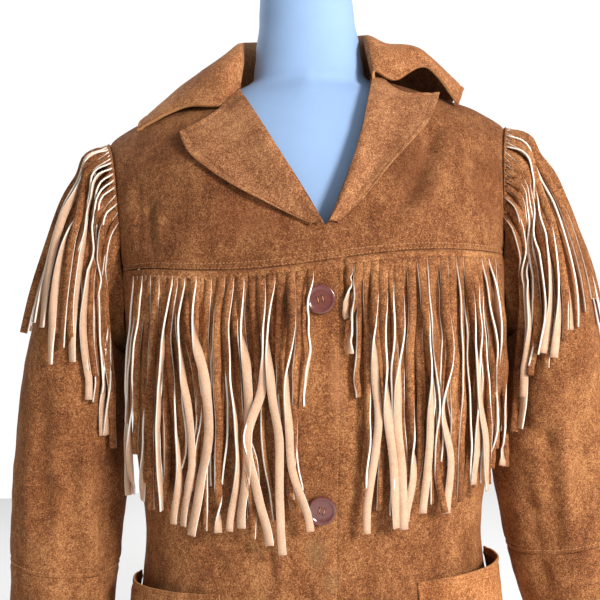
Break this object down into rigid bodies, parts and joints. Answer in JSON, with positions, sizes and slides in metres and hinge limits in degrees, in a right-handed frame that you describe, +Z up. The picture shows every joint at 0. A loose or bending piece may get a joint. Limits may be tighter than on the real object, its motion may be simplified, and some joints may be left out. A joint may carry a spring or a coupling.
{
  "type": "suede fringe jacket on a dress form",
  "caption": "Western suede jacket with a notched collar, yoke and armhole fringe, patch pockets and large buttons, fastened on a limbless dress form",
  "frame": {"origin": "the middle of the flat base of the dress form", "axes": "+Z up the form to the top of its neck, +X to the wearer's left, -Y out of the front of the jacket"},
  "size_m": [0.673, 0.2645, 0.9],
  "materials": {
    "suede": "napped brown suede",
    "suede_fringe": "suede strips, brown on the face and pale on the reverse and the cut edges",
    "button": "polished dark red-brown",
    "form_cover": "smooth pale blue jersey"
  },
  "bodies": {
    "root": {"yoke_front_right": "suede", "yoke_front_left": "suede", "yoke_back": "suede", "front_right": "suede", "front_left": "suede", "back": "suede", "lapel_right": "suede", "lapel_left": "suede", "collar": "suede", "sleeve_upper_right": "suede", "sleeve_upper_left": "suede", "sleeve_lower_right": "suede", "sleeve_lower_left": "suede", "pocket_right": "suede", "pocket_left": "suede", "fringe_front_right": "suede_fringe", "fringe_front_left": "suede_fringe", "fringe_sleeve_right": "suede_fringe", "fringe_sleeve_left": "suede_fringe", "button_1": "button", "button_2": "button", "button_3": "button", "dress_form": "form_cover"}
  },
  "joints": []
}
